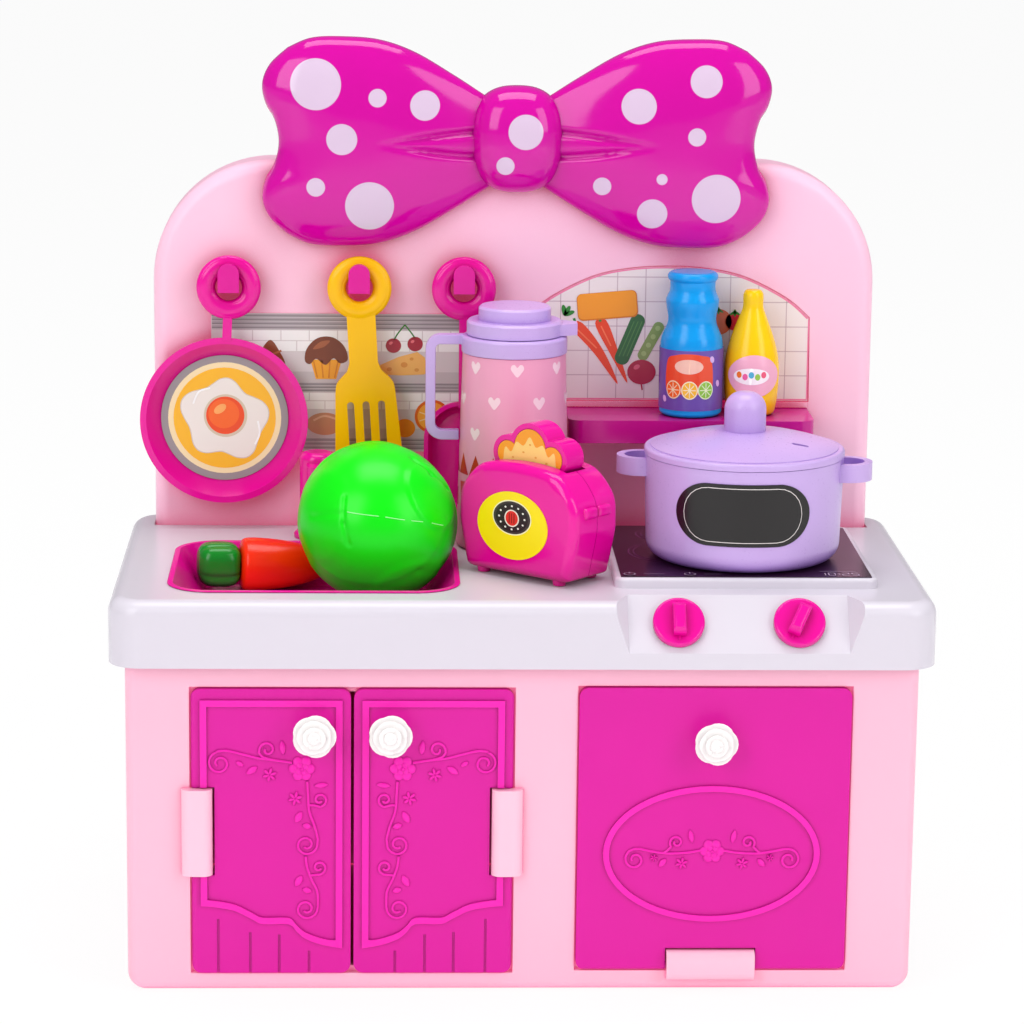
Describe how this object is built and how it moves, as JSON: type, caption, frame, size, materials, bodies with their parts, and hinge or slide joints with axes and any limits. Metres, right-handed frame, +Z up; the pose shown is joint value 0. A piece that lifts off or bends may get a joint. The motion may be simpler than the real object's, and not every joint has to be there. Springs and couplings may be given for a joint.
{
  "type": "play kitchen",
  "caption": "Toy kitchen with cupboard and oven doors, sink, swivelling tap, hob knobs, a back panel with hooks, shelf and bow, and play pans, jug, toaster, pot, bottles and vegetables.",
  "frame": {"origin": "centre of the cabinet's flat underside, which rests on the table", "axes": "+X to the right as seen from the front, +Y to the back, +Z up"},
  "size_m": [0.27, 0.147, 0.3055],
  "materials": {
    "pink_shell": "satin moulded plastic, pink",
    "pale_pink": "glossy moulded plastic, pale pink",
    "door_magenta": "satin moulded plastic with a fine grain, magenta",
    "gloss_magenta": "glossy moulded plastic, magenta",
    "worktop_white": "semi-gloss moulded plastic, white",
    "rose_white": "glossy moulded plastic, white",
    "lavender": "semi-gloss moulded plastic, lavender",
    "jug_pink": "semi-gloss moulded plastic with a printed pattern, pink",
    "spatula_orange": "semi-gloss moulded plastic, yellow-orange",
    "bottle_blue": "semi-gloss moulded plastic, blue",
    "bottle_yellow": "semi-gloss moulded plastic, yellow",
    "leaf_green": "semi-gloss blow-moulded plastic, bright green",
    "dark_green": "semi-gloss moulded plastic, dark green",
    "carrot_orange": "semi-gloss moulded plastic, orange-red",
    "hob_film": "glossy printed film, dark purple",
    "print_film": "glossy printed film, many colours",
    "black_film": "glossy printed film, black",
    "screw_steel": "zinc-plated steel"
  },
  "bodies": {
    "cabinet": {"cabinet_body": "pink_shell", "cabinet_back": "pink_shell", "divider_wall": "pink_shell", "worktop": "worktop_white", "sink_basin": "gloss_magenta", "tap_collar": "gloss_magenta", "hob_sticker": "hob_film", "back_panel": "pink_shell", "panel_cover": "pink_shell", "bow": "gloss_magenta", "utensil_hook_left": "door_magenta", "utensil_hook_middle": "door_magenta", "utensil_hook_right": "door_magenta", "shelf": "gloss_magenta", "shelf_print": "print_film", "tile_print": "print_film", "rear_screws": "screw_steel", "hinge_cap_left": "pale_pink", "hinge_cap_right": "pale_pink", "hinge_cap_oven": "pale_pink"},
    "left_door": {"cupboard_door_left": "door_magenta", "door_knob_left": "rose_white"},
    "right_door": {"cupboard_door_right": "door_magenta", "door_knob_right": "rose_white"},
    "oven_door_body": {"oven_door": "door_magenta", "oven_door_knob": "rose_white"},
    "tap_body": {"tap": "gloss_magenta"},
    "left_hob_knob": {"hob_knob_left": "gloss_magenta"},
    "right_hob_knob": {"hob_knob_right": "gloss_magenta"},
    "pan": {"frying_pan": "gloss_magenta", "egg_sticker": "print_film"},
    "spatula_body": {"spatula": "spatula_orange"},
    "spoon": {"serving_spoon": "gloss_magenta"},
    "jug": {"jug_body": "jug_pink", "jug_collar": "lavender"},
    "jug_lid_body": {"jug_lid": "lavender"},
    "toaster": {"toaster_front": "gloss_magenta", "toaster_rear": "gloss_magenta", "toaster_sticker": "print_film"},
    "toast": {"toast_slice": "gloss_magenta", "toast_sticker": "print_film"},
    "pot": {"pot_body": "lavender", "pot_label": "black_film"},
    "pot_lid_body": {"pot_lid": "lavender"},
    "blue_bottle_body": {"blue_bottle": "bottle_blue", "blue_bottle_label": "print_film"},
    "yellow_bottle_body": {"yellow_bottle": "bottle_yellow", "yellow_bottle_label": "print_film"},
    "cabbage_body": {"cabbage": "leaf_green"},
    "carrot": {"carrot_body": "carrot_orange", "carrot_top": "dark_green"}
  },
  "joints": [
    {"name": "left_door_hinge", "type": "hinge", "parent": "cabinet", "child": "left_door", "pos_m": [-0.1068, -0.0645, 0.055], "axis": [0, 0, -1], "range_deg": [0, 105]},
    {"name": "right_door_hinge", "type": "hinge", "parent": "cabinet", "child": "right_door", "pos_m": [-0.0045, -0.0645, 0.055], "axis": [0, 0, 1], "range_deg": [0, 105]},
    {"name": "oven_door_hinge", "type": "hinge", "parent": "cabinet", "child": "oven_door_body", "pos_m": [0.0629, -0.0645, 0.0088], "axis": [1, 0, 0], "range_deg": [0, 85]},
    {"name": "tap_swivel", "type": "hinge", "parent": "cabinet", "child": "tap_body", "pos_m": [-0.06865, 0.0295, 0.14], "axis": [0, 0, 1], "range_deg": [-60, 60]},
    {"name": "left_hob_knob_turn", "type": "hinge", "parent": "cabinet", "child": "left_hob_knob", "pos_m": [0.0502, -0.06354, 0.12473], "axis": [0, -0.788, 0.6157], "continuous": true},
    {"name": "right_hob_knob_turn", "type": "hinge", "parent": "cabinet", "child": "right_hob_knob", "pos_m": [0.0896, -0.06354, 0.12473], "axis": [0, -0.788, 0.6157], "continuous": true},
    {"name": "pan_swing", "type": "hinge", "parent": "cabinet", "child": "pan", "pos_m": [-0.0996, 0.041, 0.2201], "axis": [0, 1, 0], "range_deg": [-8, 8]},
    {"name": "spatula_swing", "type": "hinge", "parent": "cabinet", "child": "spatula_body", "pos_m": [-0.0544, 0.041, 0.2201], "axis": [0, 1, 0], "range_deg": [-4, 4]},
    {"name": "spoon_swing", "type": "hinge", "parent": "cabinet", "child": "spoon", "pos_m": [-0.018, 0.041, 0.2201], "axis": [0, 1, 0], "range_deg": [-5, 5]},
    {"name": "jug_lift", "type": "slide", "parent": "cabinet", "child": "jug", "axis": [0, 0, 1], "range_m": [0, 0.02]},
    {"name": "jug_lid_lift", "type": "slide", "parent": "jug", "child": "jug_lid_body", "axis": [0, 0, 1], "range_m": [0, 0.012]},
    {"name": "toaster_lift", "type": "slide", "parent": "cabinet", "child": "toaster", "axis": [0, 0, 1], "range_m": [0, 0.03]},
    {"name": "toast_lift", "type": "slide", "parent": "toaster", "child": "toast", "axis": [0, 0, 1], "range_m": [0, 0.02]},
    {"name": "pot_lift", "type": "slide", "parent": "cabinet", "child": "pot", "axis": [0, 0, 1], "range_m": [0, 0.04]},
    {"name": "pot_lid_lift", "type": "slide", "parent": "pot", "child": "pot_lid_body", "axis": [0, 0, 1], "range_m": [0, 0.03]},
    {"name": "blue_bottle_lift", "type": "slide", "parent": "cabinet", "child": "blue_bottle_body", "axis": [0, -0.5, 0.866], "range_m": [0, 0.012]},
    {"name": "yellow_bottle_lift", "type": "slide", "parent": "cabinet", "child": "yellow_bottle_body", "axis": [0, -0.5, 0.866], "range_m": [0, 0.012]},
    {"name": "cabbage_lift", "type": "slide", "parent": "cabinet", "child": "cabbage_body", "axis": [0, 0, 1], "range_m": [0, 0.04]},
    {"name": "carrot_lift", "type": "slide", "parent": "cabinet", "child": "carrot", "axis": [0, 0, 1], "range_m": [0, 0.02]}
  ],
  "couplings": [
    {"joint": "carrot_lift", "follows": "cabbage_lift", "ratio": 0.5}
  ]
}
